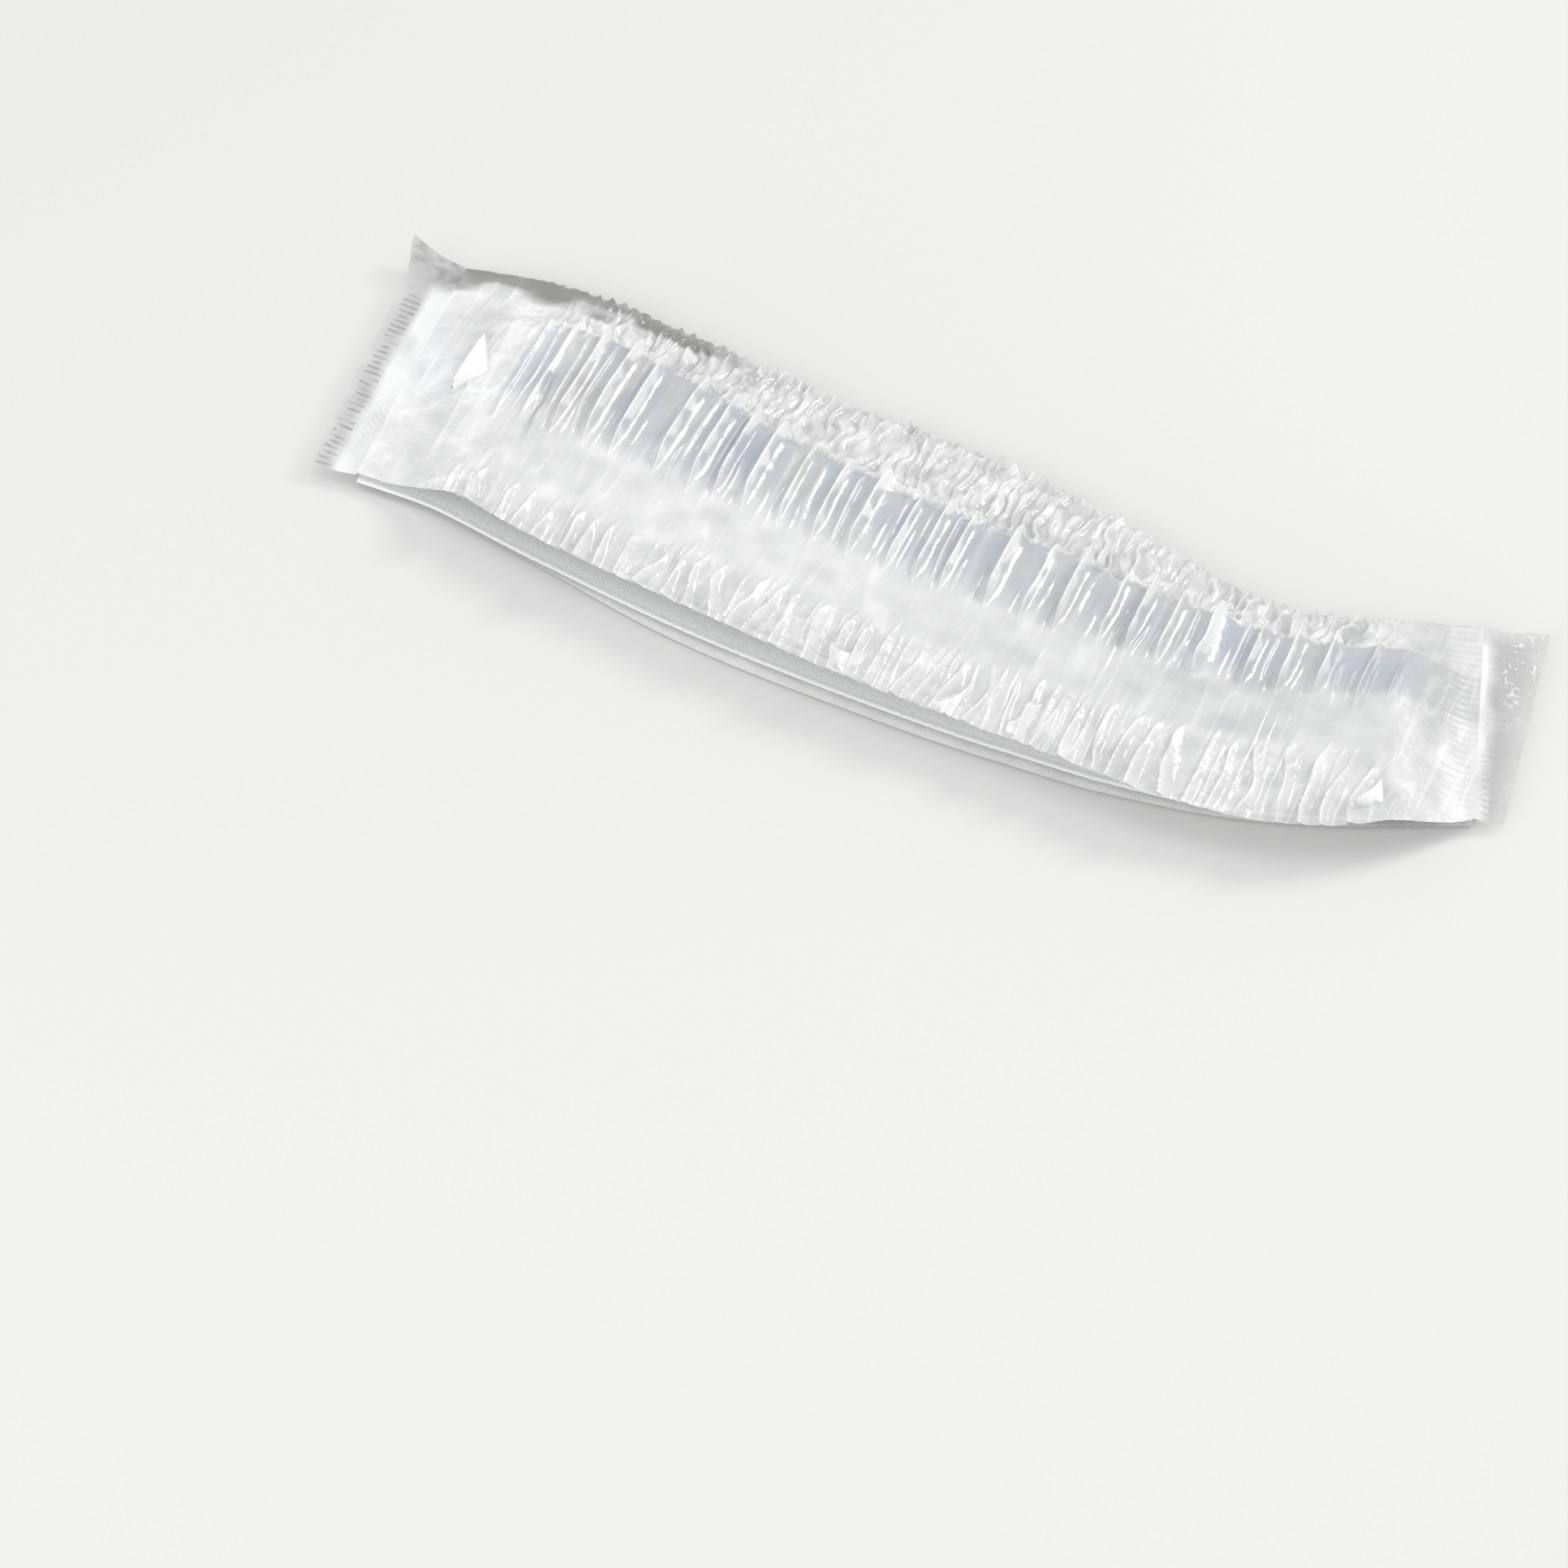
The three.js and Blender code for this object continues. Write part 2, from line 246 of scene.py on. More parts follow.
def film_folds(s, across, row):
    """Each family of folds as a field, near 1 on its folds and near 0 between them. Pleats run straight
    across the table, so they go by how far east a place is, shifted by a drift and by uneven steps."""
    east = s - np.interp(s, line_along, line_slope) * across
    drift = 0.9 * np.sin(2 * np.pi * east / 37 + 1) + 0.7 * np.sin(2 * np.pi * east / 21)
    drift = drift + 0.4 * np.sin(2 * np.pi * east / 11)
    place = east + drift + 0.4 * uneven(east, across, 9, 22, 3) + 0.12 * uneven(s, across, 3.5, 5, 4)
    flared_place = place + 0.5 * uneven(s, across, 3, 2.5, 40)
    fine_place = place + 0.5 * uneven(s, across, 3, 7, 8)
    ruffle_place = east + 1.6 * uneven(east, across, 7, 9, 10) + 0.8 * np.sin(2 * np.pi * east / 17)
    frill_place = east + 1.5 * uneven(s, across, 5, 5, 12) + 0.5 * uneven(s, across, 1.6, 1.8, 13)
    fold = SimpleNamespace()

    crisp = ridges(place / PLEAT_PITCH, 20)
    fold.flared = ridges(flared_place / PLEAT_PITCH, 22 - 18 * ease(row, 5.6, 7.8))
    fold.wide = 0.55 * crisp + 0.45 * ridges(place / PLEAT_PITCH, 1.6)
    fold.strength = 0.85 + 0.3 * uneven(place, across, PLEAT_PITCH, 60, 5)
    between = ridges(place / PLEAT_PITCH + 0.5 + 0.12 * uneven(east, across, 12, 14, 6), 9)
    fold.between = between * np.clip(0.35 + 0.9 * uneven(place, across, PLEAT_PITCH, 30, 7), 0, 1)
    fine = ridges(fine_place / GATHER_PITCH, 2.0)
    fold.fine = fine * np.clip(0.5 + 0.9 * uneven(place, across, GATHER_PITCH, 9, 19), 0, 1)

    ruffle = ridges(ruffle_place / RUFFLE_PITCH, 4.5)
    fold.ruffle = ruffle * (0.75 + 0.45 * uneven(ruffle_place, across, RUFFLE_PITCH, 60, 11))
    glints = ridges(ruffle_place / RUFFLE_PITCH, 9)
    fold.glints = glints * np.clip(0.4 + 1.3 * uneven(ruffle_place, across, RUFFLE_PITCH, 3.5, 41), 0, 1)
    frill = ridges(frill_place / FRILL_PITCH, 1.4)
    fold.frill = frill * np.clip(0.6 + 0.7 * uneven(s, across, 3.4, 2.6, 16), 0, 1)
    fold.fuzz = uneven(frill_place, across, 0.7, 3.2, 38)
    fold.tufts = uneven(frill_place, across, 0.9, 9, 25) + 0.7 * uneven(frill_place, across, 0.45, 9, 33)

    fold.crumple = facets(s + 0.6 * across, across, 2.6, 4.2, 14)
    fold.crush = facets(east, across, 0.9, 2.8, 15)
    fold.flats = facets(s + 0.3 * across, across, 9, 13, 17)
    fold.waves = uneven(s, across, 8, 16, 18)
    fold.mottled = uneven(s, across, 3.6, 3, 30)
    pinched = scribbles(s + 0.5 * across, across, 2.9, 2.1, 20)
    fold.pinched = pinched * np.clip(0.55 + 0.6 * fold.waves, 0, 1)
    knots = scribbles(s + 0.4 * across, across, 3.8, 2.7, 37)
    fold.knots = knots * np.clip(0.6 + 0.7 * fold.waves, 0, 1)
    streaks = scribbles(east, across, 1.9, 14, 28)
    fold.streaks = streaks * np.clip(0.5 + 0.8 * uneven(east, across, 4, 6, 29), 0, 1)
    dents = scribbles(east, across, 3.4, 8, 34)
    fold.dents = dents * np.clip(0.5 + 0.7 * uneven(east, across, 7, 9, 35), 0, 1)
    fold.ribs = ridges(across / RIB_PITCH + 0.15 * uneven(s, across, 5, 4, 39), 1.2)
    return fold


PLEAT_HEIGHT = 2.6
KNOT_HEIGHT = 1.4
RIB_HEIGHT = 0.06


def film_rise(s, row, zone, fold):
    """How far the film stands out from its section's line: in each zone, its folds' heights added up.
    Near the welds it is nearly flat, with faint waves and dents."""
    rise = zone.pleated * (PLEAT_HEIGHT * fold.strength * fold.wide + 0.9 * fold.between - 0.45
                           + 0.08 * fold.mottled)
    rise = rise + bump_between(row, 3.8, 4.6, 5, 6.4) * 0.5 * fold.fine
    on_band = 0.12 * fold.fine + 0.3 * fold.waves + 0.15 * fold.streaks
    rise = rise + bump_between(row, 1.8, 2.3, 3.8, 4.6) * on_band
    rise = rise + (0.3 + 2.0 * zone.lip_edge) * (1 - ease(row, 1.9, 2.6)) * (fold.ruffle - 0.3)
    on_lip = 0.5 * fold.fine + 0.3 * fold.pinched + 0.2 * fold.knots + 0.6 * fold.glints - 0.2
    rise = rise + zone.lip * on_lip
    on_frill = 0.9 * fold.frill + 0.15 * fold.crush + 0.4 * fold.pinched + 0.35 * fold.fuzz - 0.7
    rise = rise + zone.frilled * on_frill
    on_crest = 0.3 * fold.crush + 0.2 * fold.crumple + 1.0 * fold.pinched + KNOT_HEIGHT * fold.knots
    rise = rise + zone.crest * (on_crest + 0.8 * fold.flared - 1.1)
    rise = rise + (0.1 * zone.pleated + 0.25 * zone.lip_edge) * (fold.crumple - 0.5)

    flat = (0.5 * fold.flats + 0.4 * fold.waves) * (1 - 0.6 * ease(s, 120, 160)) + 0.1 * fold.crumple - 0.3
    flat = flat + 0.15 * fold.pinched + 0.15 * fold.streaks + 0.35 * fold.dents
    flat = flat * ease(s, 0, 6) * (1 - 0.6 * ease(s, 150, 180))
    rise = (zone.gathered * rise
            + (1 - zone.gathered) * flat * zone.upper * (1 - ease(s, LENGTH - 4, LENGTH)))
    return rise + RIB_HEIGHT * zone.ribbed * fold.ribs * zone.upper


def film_tone(s, row, zone, fold):
    """How bright the film is, from the grey of a trough at 0 to the white of a fold's edge at 1.
    The white is partly the film's own doubled layers and partly painted highlights, and the lower film in
    the mouth carries painted light. It is the sum over the zones of what each kind of fold adds there."""
    # On the lip, the glints term paints highlights on the ruffles' tops.
    on_lip = 0.48 + 0.3 * fold.ruffle + 0.7 * fold.glints + 0.3 * fold.fine + 0.25 * fold.pinched
    on_band = 0.56 - 0.3 * ease(s, 90, 170) + 0.15 * fold.mottled + 0.25 * fold.streaks
    # On the pleats the ridge lines are white partly as doubled film and partly as a painted highlight along
    # each ridge.
    on_pleats = np.clip(1.5 * fold.flared + 0.35 * fold.wide, 0, 1) + 0.6 * fold.between
    on_far = 0.5 + 0.45 * fold.frill - 0.3 * fold.crush + 0.4 * fold.pinched + 0.25 * fold.mottled
    # On the crest the pinched crinkles are white partly as crumpled film and partly as painted sparkle.
    on_crest = 1.0 * fold.pinched + 1.5 * fold.knots + 0.6 * fold.flared - 0.3 * fold.crush - 0.2
    tone = (zone.lip * (on_lip + 0.15 * fold.mottled) + zone.band * on_band
            + zone.pleats * (on_pleats + 0.15 * fold.streaks)
            + zone.far * (on_far + 0.4 * fold.fuzz) + zone.crest * on_crest)
    # Painted light: the lower film inside the mouth's shadow is painted near white.
    tone = tone + (0.95 - tone) * zone.lower

    shaded = 0.35 * ease(s, LENGTH - 42, LENGTH - 30) * bump_between(row, 4.2, 5, 7, 8)
    plain = 0.62 - 0.29 * ease(s, 100, 150) + 0.25 * fold.waves - 0.35 * (fold.flats - 0.5)
    plain = plain + 0.25 * fold.pinched + 0.3 * fold.streaks + 0.3 * fold.dents
    plain = plain + 0.1 * fold.mottled - shaded
    plain = plain + zone.ribbed * (0.2 * fold.ribs + 0.08)
    return np.clip(zone.gathered * tone + (1 - zone.gathered) * plain, 0, 1)


# Small tucks, tilted towards the key and painted white as highlights.
TUCKS = [
    # three corners of each, along and across, anticlockwise
    [(9.5, -5.9), (14.4, -0.5), (10.8, 8.7)],
    [(102.2, -33.6), (106.7, -36.1), (107.9, -29.6)],
    [(124.5, -34.5), (126.9, -36.6), (126.7, -27.8)],
    [(137.3, -33.3), (140.7, -33.9), (139.8, -25.4)],
    [(184.9, -27.9), (189.4, -25.8), (188.9, -21.5)],
]
TUCK_SLOPE = 0.7
TUCK_EDGE, TUCK_SHADE_RIM = 0.4, 3
LEFT_CREASE = [(27.3, 0.1), (31.0, -18.2)]
CREASE_WIDTH = 0.6


def film(along, row):
    """The film's point at a place along the strip and a row of its section, with its marks.

    From the section's line the point moves outwards by the folds' heights. The pleats lie over to one
    side, and both edges are ragged. Small flat tucks tilt by a steady slope and are painted white as
    highlights, inside a rim of painted shade, and one sharp crease dips like a bell curve and is painted
    darker as shade."""
    along, row = np.broadcast_arrays(np.asarray(along, float), np.asarray(row, float))
    s = along[:, :1]
    across, height, out_across, out_up = film_section(s, row)
    zone = film_zones(s, row)
    fold = film_folds(s, across, row)
    tuck_and_highlight = [zone.near * patch(s, across, corners, TUCK_EDGE) for corners in TUCKS]
    tilted = sum(share * (corners[1][0] - s) for share, corners in zip(tuck_and_highlight, TUCKS))
    off_crease = beyond(s + 0.15 * fold.mottled, across, *LEFT_CREASE)
    crease = zone.near * np.exp(-(off_crease / CREASE_WIDTH) ** 2) * ease(across, -19, -10)

    rise = film_rise(s, row, zone, fold) + TUCK_SLOPE * tilted - 0.5 * crease
    lean = zone.gathered * (-zone.pleated * 0.4 * fold.strength * fold.wide - zone.lip * 0.9 * fold.ruffle
                            + zone.frilled * 0.4 * fold.waves)
    lip_rag = (1 - ease(row, 0, 1.2)) * (0.5 - 1.5 * fold.ruffle - 0.4 * fold.fine)
    far_rag = 0.9 * fold.frill + 0.4 * fold.crush + 0.6 * fold.tufts - 0.6
    far_rag = bump_between(row, 11, 12.4, 13.2, 14) * far_rag
    ragged = zone.gathered * (lip_rag + far_rag * (0.3 + 0.7 * ease(s, 40, 80)))
    height = np.maximum(height + out_up * rise, LEAST_HEIGHT)
    points = laid(along + lean, across + out_across * rise + ragged, height)

    # A rim of painted shade round each tuck: the soft band just outside it.
    painted_shade_rim = zone.near * sum(patch(s, across, corners, TUCK_SHADE_RIM) for corners in TUCKS) - sum(tuck_and_highlight)
    # The crease is also painted darker, as the shade that falls into it.
    bright = film_tone(s, row, zone, fold) - 0.6 * crease
    # Painted shade in a rim round each tuck, and a painted highlight on the tuck itself.
    bright = np.clip(bright - 0.45 * np.clip(painted_shade_rim, 0, 1) + 1.2 * sum(tuck_and_highlight), 0, 1.3)
    # Painted shade: where the film's far edge lies as one layer it is painted dark grey.
    at_edge = ease(row + 0.5 * fold.waves + 0.4 * fold.mottled, 10.4, 11.0) * (1 - 0.8 * zone.lower)
    painted_edge_shade = at_edge * np.clip(0.95 - 0.95 * ease(s, 38, 62) + 0.2 * fold.mottled, 0, 1)
    fringe = 0.6 * ease(s, 50, 85) * bump_between(row, 11, 13, 13.3, 13.9)
    fringe = fringe * np.clip(0.6 + 0.6 * fold.tufts, 0, 1)
    layers = 1 - fringe - (0.2 * (1 - ease(row, 0, 0.7)) + 0.2 * zone.lip) * zone.gathered
    gloss = 1 - 0.8 * ease(s, LENGTH - 34, LENGTH - 22)
    # Painted reflection: how much painted sky blue the pleats' troughs take.
    painted_blue_share = np.clip(zone.pleats * (0.4 + 1.1 * uneven(s, across, 5.5, 9, 43)), 0, 1)
    painted_blue_share = painted_blue_share * (1 - ease(s, LENGTH - 15, LENGTH - 7))
    return points, {"bright": bright, "layers": layers, "painted_edge_shade": painted_edge_shade, "gloss": gloss, "painted_blue_share": painted_blue_share}


def surface(name, points, marks):
    """A mesh over a grid of points, smooth shaded, with one value per point for each named mark."""
    n, m = points.shape[:2]
    i, j = np.meshgrid(np.arange(n - 1), np.arange(m - 1), indexing="ij")
    corner = (i * m + j).ravel()
    quads = np.stack([corner, corner + m, corner + m + 1, corner + 1], axis=1)
    mesh = bpy.data.meshes.new(name)
    mesh.from_pydata(points.reshape(-1, 3).tolist(), [], quads.tolist())
    mesh.shade_smooth()
    for mark, values in marks.items():
        attribute = mesh.attributes.new(mark, "FLOAT", "POINT")
        attribute.data.foreach_set("value", np.broadcast_to(values, (n, m)).ravel().astype(np.float32))
    piece = bpy.data.objects.new(name, mesh)
    bpy.context.scene.collection.objects.link(piece)
    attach(piece, "root")
    return piece


class Socket:
    """One output of a material's nodes. Arithmetic on it adds Math nodes."""

    def __init__(self, finish, out):
        self.finish, self.out = finish, out

    def math(self, operation, a, b):
        return self.finish.node("ShaderNodeMath", {"operation": operation}, {0: a, 1: b})

    def __add__(self, other):
        return self.math("ADD", self, other)

    def __sub__(self, other):
        return self.math("SUBTRACT", self, other)

    def __mul__(self, other):
        return self.math("MULTIPLY", self, other)

    __radd__ = __add__
    __rmul__ = __mul__


class Finish:
    """A material on one Principled shader. Its constants are set on the shader's own sockets."""

    def __init__(self, name, constants):
        self.material = bpy.data.materials.new(name)
        self.material.use_nodes = True
        self.nodes, self.links = self.material.node_tree.nodes, self.material.node_tree.links
        self.shader = self.nodes["Principled BSDF"]
        for socket, value in constants.items():
            self.shader.inputs[socket].default_value = value

    def join(self, value, socket):
        if isinstance(value, Socket):
            self.links.new(value.out, socket)
        else:
            socket.default_value = value

    def node(self, kind, settings, inputs, output=0):
        made = self.nodes.new(kind)
        for name, value in settings.items():
            setattr(made, name, value)
        for name, value in inputs.items():
            self.join(value, made.inputs[name])
        return Socket(self, made.outputs[output])

    def mark(self, name):
        return self.node("ShaderNodeAttribute", {"attribute_name": name}, {}, "Fac")

    def noise(self, scale, detail):
        where = self.node("ShaderNodeTexCoord", {}, {}, "Object")
        inputs = {"Vector": where, "Scale": scale, "Detail": detail}
        return self.node("ShaderNodeTexNoise", {}, inputs, "Fac")

    def creases(self, scale, width):
        """0 on the edges between random cells, 1 farther than the width from them."""
        where = self.node("ShaderNodeTexCoord", {}, {}, "Object")
        away = self.node("ShaderNodeTexVoronoi", {"feature": "DISTANCE_TO_EDGE"}, {
            "Vector": where, "Scale": scale}, "Distance")
        share = away * (1 / width)
        return share.math("MINIMUM", share, 1.0)

    def blend(self, share, first, second):
        made = self.nodes.new("ShaderNodeMix")
        made.data_type = "RGBA"
        self.join(share, made.inputs[0])
        self.join(first, made.inputs[6])
        self.join(second, made.inputs[7])
        return Socket(self, made.outputs[2])

    def bump(self, height, distance, strength):
        return self.node("ShaderNodeBump", {}, {
            "Height": height, "Distance": distance, "Strength": strength}, "Normal")

    def feed(self, inputs):
        for name, value in inputs.items():
            self.join(value, self.shader.inputs[name])


PAINTED_SKY_BLUE = (0.50, 0.53, 0.605, 1)
GREYISH = (0.60, 0.605, 0.61, 1)
# White of the ridges: partly doubled film and partly a painted highlight.
RIDGE = (0.985, 0.985, 0.98, 1)
# Dark grey of the far edge's painted shade.
PAINTED_EDGE_GREY = (0.28, 0.28, 0.27, 1)
clear_film = Finish("clear_film", {"IOR": 1.5, "Specular IOR Level": 0.6, "Coat Roughness": 0.09})
bright = clear_film.mark("bright")
layers = clear_film.mark("layers")
gloss = clear_film.mark("gloss")
clouds = clear_film.noise(180, 3)
# Each trough's grey, with a painted blue reflection of the sky mixed in.
trough = clear_film.blend(clear_film.mark("painted_blue_share") * (0.35 + clear_film.noise(110, 2)), GREYISH, PAINTED_SKY_BLUE)
creased = clear_film.creases(620, 0.12) * 0.2 + clear_film.creases(260, 0.06) * 0.3
creased = creased + clear_film.noise(900, 3) * 0.3
stacked = clear_film.blend(bright * 0.9 + (clouds - 0.5) * 0.3, trough, RIDGE)
clear_film.feed({
    "Base Color": clear_film.blend(clear_film.mark("painted_edge_shade"), stacked, PAINTED_EDGE_GREY),
    "Roughness": 0.4 + 0.15 * clouds - 0.2 * gloss,
    "Coat Weight": 0.7 * gloss,
    "Alpha": 0.34 + 0.46 * layers + 0.1 * bright + 0.1 * clouds,
    "Normal": clear_film.bump(creased, 0.00025, 0.4),
})


def film_piece(name, near_row, far_row, steps_along, steps_across):
    """One stretch of the film between two rows, as a piece of its own."""
    piece = surface(name, *film(np.linspace(0, LENGTH, steps_along)[:, None],
                                np.linspace(near_row, far_row, steps_across)[None, :]))
    piece.data.materials.append(clear_film.material)
    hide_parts("film_cap")
    return piece


FINE_STEPS, PLAIN_STEPS = 1401, 701
# The real cap's film is cut far larger than its modelled gathers hold.
lip = film_piece("film_lip_and_band", 0, 4, FINE_STEPS, 60)
pleats = film_piece("film_pleats", 4, 7.9, FINE_STEPS, 68)

# The far side of the same film: from the crest it drops to a fine crushed frill.
# Its folded edge lies farthest from the mouth. The crown's fullness is pressed flat here into fine creases.
far_frill = film_piece("film_far_frill", 7.9, 13.9, FINE_STEPS, 70)

# The lower side of the same film, which lies flat on the table and ends in the lower lip.
# It is held by its own elastic along the lip, and stays plain where it isn't seen.
lower = film_piece("film_lower", 13.9, 16, PLAIN_STEPS, 60)

# The two elastics: flat knitted tape, white, drawn along each lip on the mouth's side of the film.
# Each is a closed ribbon with rounded edges and a few lengthwise ribs.
ELASTIC_WHITE = (0.9, 0.9, 0.89, 1)
ELASTIC_SHADE = (0.78, 0.79, 0.8, 1)
elastic_finish = Finish("knitted_elastic", {"Specular IOR Level": 0.3, "Sheen Weight": 0.3})
knit = elastic_finish.noise(2600, 2)
elastic_finish.feed({
    "Base Color": elastic_finish.blend(knit, ELASTIC_SHADE, ELASTIC_WHITE),
    "Roughness": 0.6 + 0.3 * knit,
    "Normal": elastic_finish.bump(knit, 0.0003, 0.6),
})
ENDS_LEVEL = 1.75
TAPE_HALF, TAPE_RIB, TAPE_RIB_PITCH = 0.34, 0.05, 1.3
TAPE_WAVE, TAPE_WAVE_PITCH = 0.04, 2.1


def ribbon(node, near, far, share, width, height):
    """A flat closed ribbon along the strip, between the welds: a rounded oblong section, ribbed on top."""
    s = np.linspace(0.2, LENGTH - 0.2, 601)
    beside = lines_beside(s)
    middle = beside[:, near] * (1 - share) + beside[:, far] * share
    full = fullness(s)
    level = ENDS_LEVEL + (height - ENDS_LEVEL) * full
    turn = np.linspace(0, 2 * np.pi, 41)
    across = np.sign(np.cos(turn)) * np.abs(np.cos(turn)) ** 0.35 * width / 2
    thick = TAPE_HALF + TAPE_RIB * np.cos(across * 2 * np.pi / TAPE_RIB_PITCH)
    up = np.sign(np.sin(turn)) * np.abs(np.sin(turn)) ** 0.6 * thick
    wave = TAPE_WAVE * np.sin(2 * np.pi * s / TAPE_WAVE_PITCH)[:, None]
    height_here = level[:, None] + up + wave * full[:, None]
    points = laid(s[:, None] + 0 * across, middle[:, None] + across, height_here)
    piece = surface(node + "_tape", points[:, ::-1], {})
    piece.data.materials.append(elastic_finish.material)
    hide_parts(node)
    return piece


ribbon("upper_elastic", BAND_NEAR, BAND_FAR, 0.5, 8, 7.8)
ribbon("lower_elastic", LOWER_LIP, BAND_NEAR, 0.4, 6, ENDS_LEVEL)

# The two welds: all the film's layers melted flat between hot bars, whose ladder leaves a row of rungs.
# Outside the left ladder the film is cut at once, and outside the right one a plain tab is left.
# Between the left ladder and the film the layers are tacked together by rows of dots.
CLEAR_GREY = (0.56, 0.565, 0.56, 1)
MILKY = (0.95, 0.955, 0.955, 1)
PAINTED_RUNG_SHADE = (0.2, 0.205, 0.2, 1)
welded = Finish("welded_film", {
    "IOR": 1.5, "Specular IOR Level": 0.5, "Coat Weight": 0.25, "Coat Roughness": 0.15})
# The pressed mark paints shade: dark in the ladder's rungs, grey at the left tab's curled far corner.
pressed = welded.mark("pressed")
milky = welded.mark("milky")
haze = welded.noise(260, 3)
welded.feed({
    "Base Color": welded.blend(pressed, welded.blend(milky + (haze - 0.5) * 0.5, CLEAR_GREY, MILKY), PAINTED_RUNG_SHADE),
    "Roughness": 0.25 + 0.2 * haze,
    "Alpha": 0.38 + 0.45 * milky + 0.25 * pressed + 0.1 * haze,
    "Normal": welded.bump(welded.creases(300, 0.1) * 0.4 + haze, 0.0003, 0.3),
})
RUNG_PITCH = 1.4
DOT_PITCH_ACROSS, DOT_PITCH_OUT = 1.5, 1.3


def weld(node, end, near, far, flare, near_reach, far_reach, curl, lift, ladder, sparkle):
    """A tab past the strip's end. Its height is a rise towards the cut edge, plus a wave of rungs in the
    ladder band, plus a curl of the far corner. Where it sparkles, its far corner is crushed into small
    bumps painted white as glints."""
    ladder_start, ladder_width, ladder_share, depth = ladder
    share, out = np.meshgrid(np.linspace(0, 1, 401), np.linspace(0, 1, 91), indexing="ij")
    corner = ease(share, 0.78, 1) ** 2
    across = near + (far + flare * out - near) * share
    past = out * (near_reach + (far_reach - near_reach) * share + 1.4 * curl * corner)
    past = past + 0.12 * out * uneven(across, across, 1.1, 50, 32)

    ladder_end = ladder_start + ladder_width
    band = bump_between(past, ladder_start, ladder_start + 0.3, ladder_end - 0.3, ladder_end)
    band = band * (1 - ease(share, ladder_share, ladder_share + 0.03))
    broken = np.clip(0.7 + 0.8 * uneven(across, past, 1.4, 1.3, 22), 0, 1)
    rungs = band * ridges(across / RUNG_PITCH + 0.1 * uneven(across, past, 4, 3, 23), 1.8) * broken
    dots = np.sin(2 * np.pi * across / DOT_PITCH_ACROSS) * np.sin(2 * np.pi * past / DOT_PITCH_OUT)
    dots = np.clip(dots, 0, 1) * np.clip(0.6 + uneven(across, past, 5, 2, 26), 0, 1)
    dots = dots * (1 - ease(share, 0.3, 0.6))
    dots = dots * (1 - ease(past, ladder_start - 1, ladder_start - 0.4)) * (end < 0)
    crushed = sparkle * ease(past, 2.5, 5) * ease(share, 0.4, 0.85)
    grains = uneven(past, across, 0.6, 0.55, 24) + 0.4 * uneven(past, across, 2, 2, 31)
    # Painted glints: white specks on small bumps where the far corner is crushed.
    painted_glint_specks = crushed * ease(grains, 0.3, 0.8)

    height = STACK - 0.8 * ease(out, 0, 0.5) - 0.9 * ease(share, 0.88, 1) * (1 - out) + lift * out**2
    height = height + 0.35 * depth * rungs + 0.1 * dots + 2.2 * curl * corner * out + 0.5 * painted_glint_specks
    height = height + 0.3 * uneven(past, across, 4, 7, 21) * ease(past, 0, 2)
    along = -past if end < 0 else LENGTH + past

    fade = 1 - ease(past, ladder_start - 1.2, ladder_start + 0.6 * ladder_width)
    milky = (0.95 - 0.4 * ease(share, 0.8, 1)) * fade + 0.3 * dots + painted_glint_specks
    milky = milky + 0.25 * uneven(past, across, 3, 5, 27)
    # Painted shade at the left tab's far corner, which curls up.
    painted_corner_shade = (0.7 + 0.3 * uneven(past, across, 1.3, 1.1, 36)) * ease(share, 0.84, 0.94) * (end < 0)
    marks = {"pressed": np.clip(depth * rungs + painted_corner_shade, 0, 1), "milky": np.clip(milky - painted_corner_shade, 0, 1)}
    piece = surface(node + "_film", laid(along, across, height), marks)
    piece.data.materials.append(welded.material)
    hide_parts(node)
    return piece


# end, near and far edge, flare, reach at each, curl, lift, ladder (start, width, share, depth), sparkle
weld("left_end_seal", -1, -28.5, 27.6, 1.8, 8.4, 9.6, 1, 1.7, (4.6, 3.4, 0.78, 1), 0)
weld("right_end_seal", 1, -22.5, 21, 0, 5, 11.5, 0, 0.1, (1, 4.4, 2, 0.22), 1)

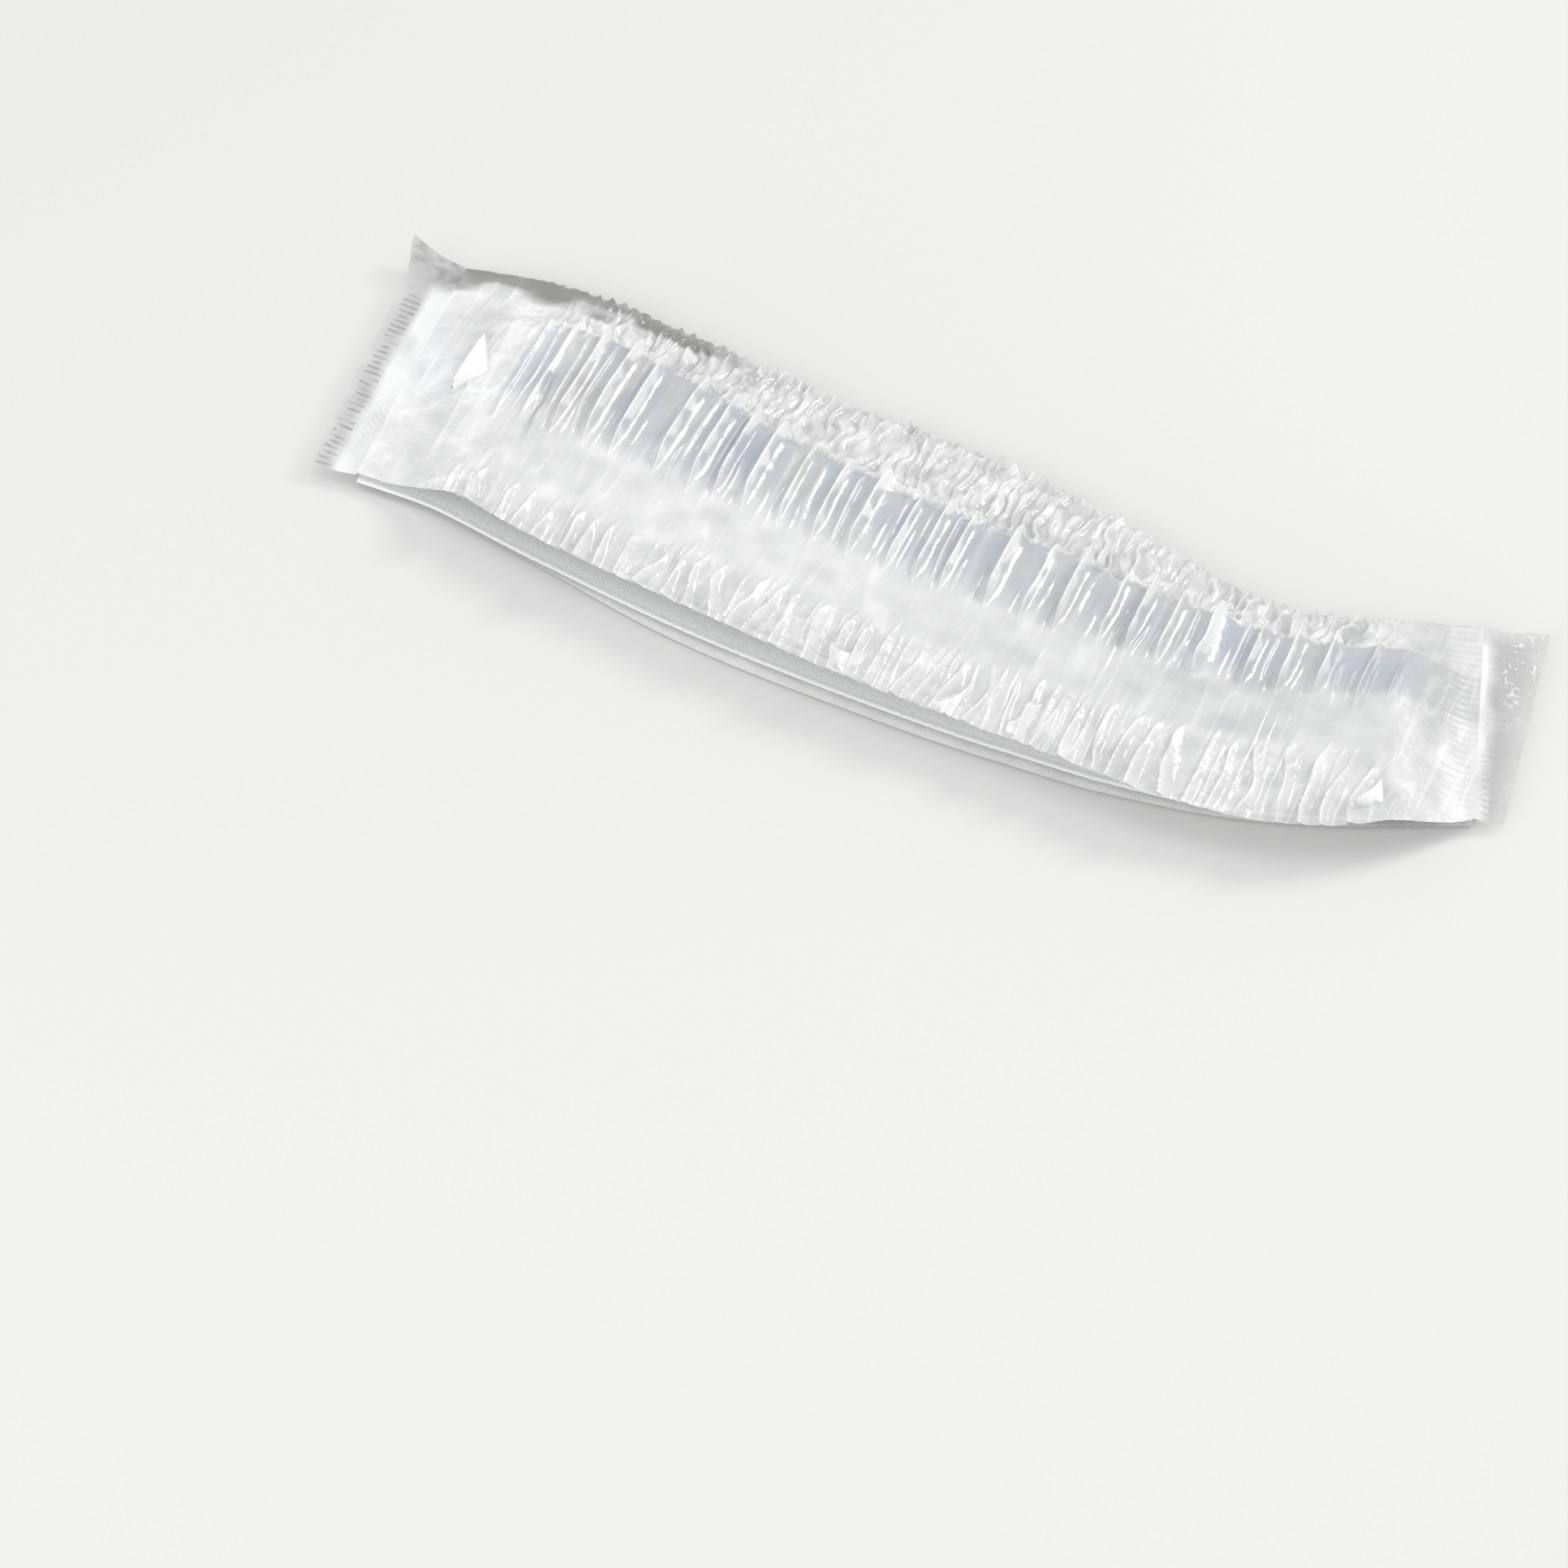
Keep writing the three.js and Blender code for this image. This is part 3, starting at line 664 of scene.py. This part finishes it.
# The floor, the lights and the camera: a plain pale floor, a soft key from behind the right end,
# a broad fill and a pale sky, and the photograph's own angle.
FLOOR_HALF = 3
floor_mesh = bpy.data.meshes.new("floor")
floor_corners = [(-FLOOR_HALF, -FLOOR_HALF, 0), (FLOOR_HALF, -FLOOR_HALF, 0),
                 (FLOOR_HALF, FLOOR_HALF, 0), (-FLOOR_HALF, FLOOR_HALF, 0)]
floor_mesh.from_pydata(floor_corners, [], [(0, 1, 2, 3)])
floor = bpy.data.objects.new("floor", floor_mesh)
bpy.context.scene.collection.objects.link(floor)
PALE = (0.77, 0.77, 0.76, 1)
paper = Finish("pale_floor", {"Base Color": PALE, "Roughness": 0.8, "Specular IOR Level": 0.2})
floor_mesh.materials.append(paper.material)


def softbox(name, place, size, power, colour):
    """An area light at a place, facing the middle of the strip."""
    light = bpy.data.lights.new(name, "AREA")
    light.size, light.energy, light.color = size, power, colour
    lamp = bpy.data.objects.new(name, light)
    lamp.location = place
    lamp.rotation_euler = (-Vector(place)).to_track_quat("-Z", "Y").to_euler()
    bpy.context.scene.collection.objects.link(lamp)


softbox("key", (0.75, 0.8, 0.85), 0.4, 6.5, (1, 0.99, 0.97))
softbox("fill", (-0.4, -1, 0.4), 1.0, 7, (1, 1, 1))
softbox("top", (0.1, 0.1, 1.4), 0.9, 4.4, (1, 1, 1))
world = bpy.data.worlds.new("studio")
world.use_nodes = True
sky = world.node_tree.nodes["Background"]
sky.inputs["Color"].default_value = (0.985, 0.99, 1, 1)
sky.inputs["Strength"].default_value = 0.6
bpy.context.scene.world = world
bpy.context.scene.view_settings.view_transform = "Standard"
bpy.context.scene.cycles.transparent_max_bounces = 24

TURN, TILT = 23.3, 50.2
DISTANCE = 0.8
SENSOR = 36
FRAME_PIXELS = 1932
PIXEL = 0.143 * MM
AIM_LEFT, AIM_DOWN = 202, 301
turn, tilt = np.radians(TURN), np.radians(TILT)
back = np.array([np.sin(turn) * np.cos(tilt), -np.cos(turn) * np.cos(tilt), np.sin(tilt)])
right = np.array([np.cos(turn), np.sin(turn), 0])
up = np.cross(back, right)
middle = np.array([ORIGIN[0] * MM, ORIGIN[1] * MM, 0])
aim = middle - AIM_LEFT * PIXEL * right - AIM_DOWN * PIXEL * up
lens = bpy.data.cameras.new("camera")
lens.lens = SENSOR * DISTANCE / (FRAME_PIXELS * PIXEL)
lens.clip_start = 0.05
camera = bpy.data.objects.new("camera", lens)
camera.location = aim + DISTANCE * back
camera.rotation_euler = Vector(-back).to_track_quat("-Z", "Y").to_euler()
bpy.context.scene.collection.objects.link(camera)
bpy.context.scene.camera = camera

bpy.context.view_layer.update()
